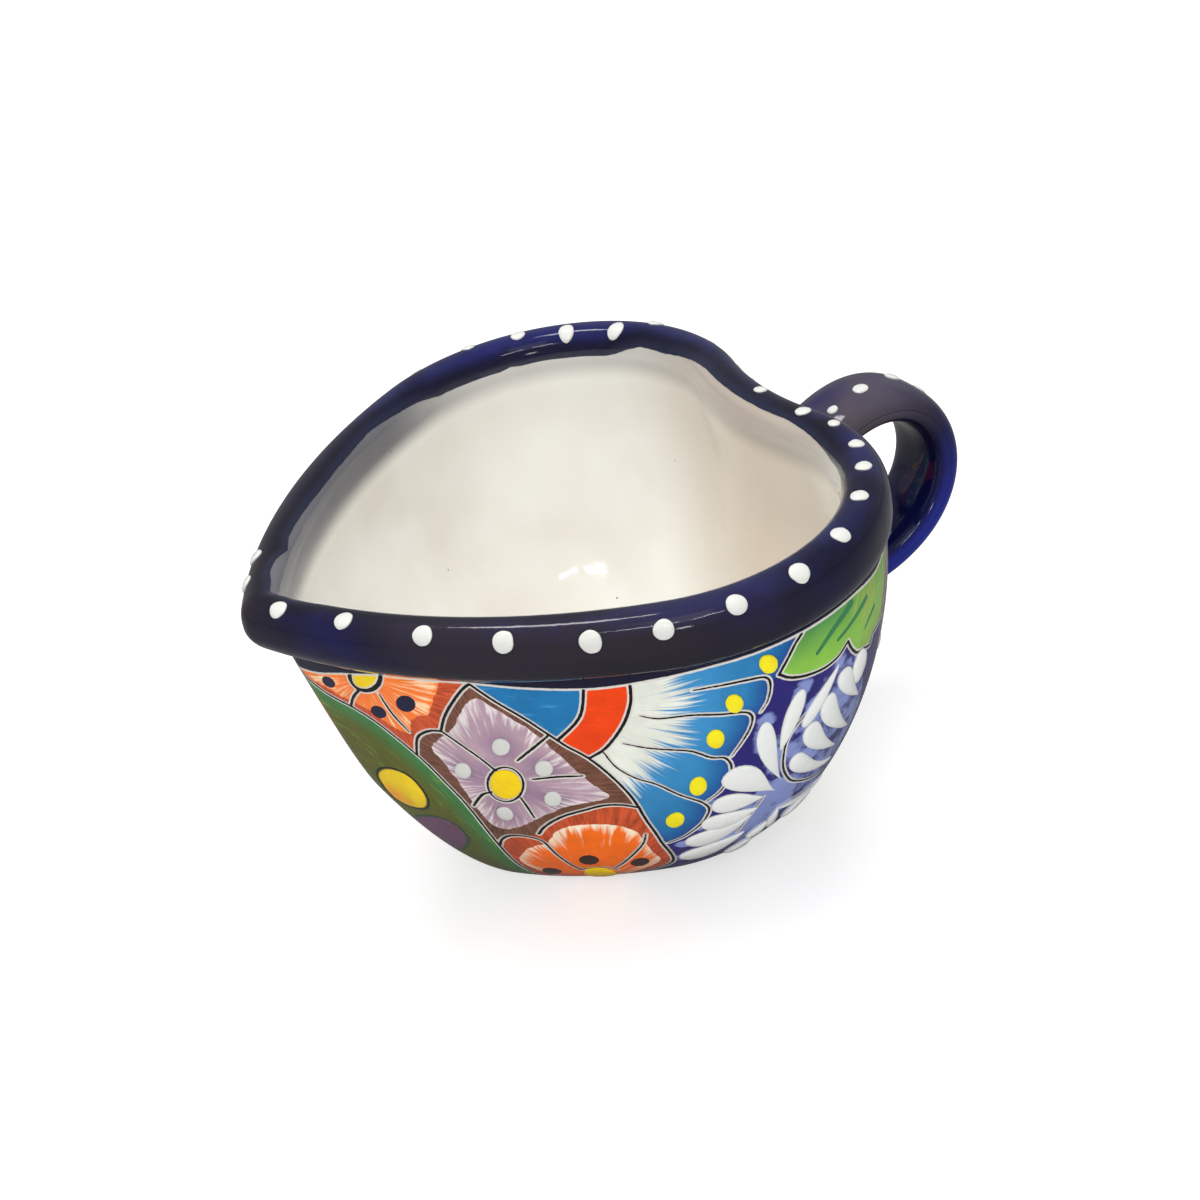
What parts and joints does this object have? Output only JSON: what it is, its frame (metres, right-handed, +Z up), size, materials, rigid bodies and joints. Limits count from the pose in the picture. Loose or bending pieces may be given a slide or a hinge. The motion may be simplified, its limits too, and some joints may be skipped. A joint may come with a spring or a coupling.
{
  "type": "heart-shaped mug with strap handle",
  "caption": "Heart-mouthed earthenware drinking mug with a rolled lip, a strap handle and raised enamel decoration.",
  "frame": {"origin": "middle of the foot's flat face", "axes": "+Z up through the bowl, +X towards the handle, -X towards the tip of the heart, Y across the two lobes"},
  "size_m": [0.1494, 0.1326, 0.0787],
  "materials": {
    "clay": "matte",
    "cobalt_glaze": "gloss",
    "liner_glaze": "gloss",
    "painted_glaze": "gloss",
    "white_enamel": "gloss",
    "yellow_enamel": "gloss"
  },
  "bodies": {
    "root": {"bowl": "clay", "rim_coil": "cobalt_glaze", "liner_glaze": "liner_glaze", "painted_coat": "painted_glaze", "handle_strap": "cobalt_glaze", "upper_joint": "cobalt_glaze", "lower_joint": "cobalt_glaze", "rim_dots": "white_enamel", "handle_dots": "white_enamel", "feather_strokes": "white_enamel", "fan_dots": "yellow_enamel", "petal_dots": "white_enamel", "flower_centres": "yellow_enamel"}
  },
  "joints": []
}
